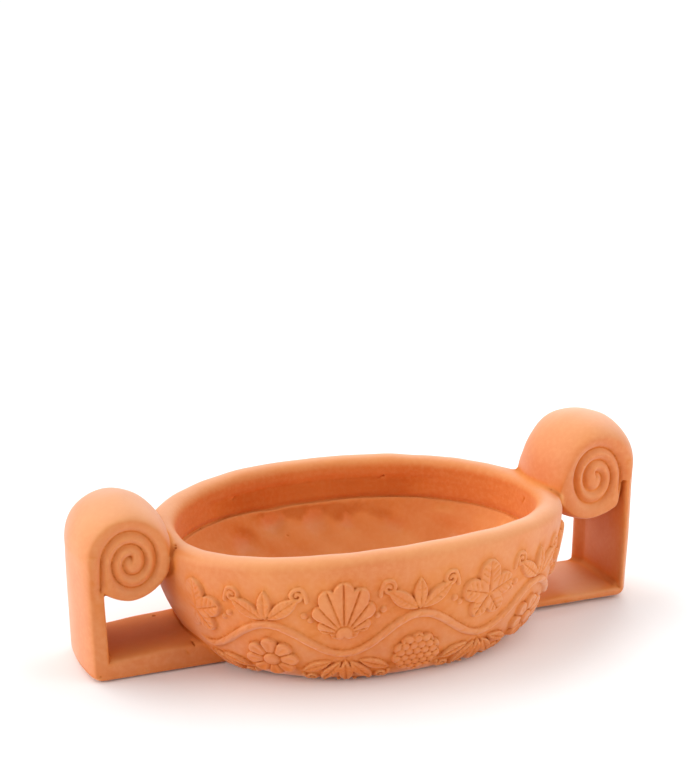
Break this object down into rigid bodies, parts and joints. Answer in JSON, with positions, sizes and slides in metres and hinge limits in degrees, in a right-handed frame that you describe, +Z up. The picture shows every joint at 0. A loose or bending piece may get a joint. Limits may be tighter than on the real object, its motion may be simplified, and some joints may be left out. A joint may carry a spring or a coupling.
{
  "type": "terracotta vase",
  "caption": "Low oval terracotta bowl vase with a thick rounded rim, a vine in low relief on its wall, and strap handles that rise from the floor and roll into volutes.",
  "frame": {"origin": "on the floor, under the middle of the overall length and width", "axes": "+X along the length towards the taller handle, +Y towards the back, +Z up"},
  "size_m": [0.4666, 0.247, 0.1563],
  "materials": {
    "terracotta": "matte unglazed fired clay"
  },
  "bodies": {
    "root": {"vase": "terracotta"}
  },
  "joints": []
}
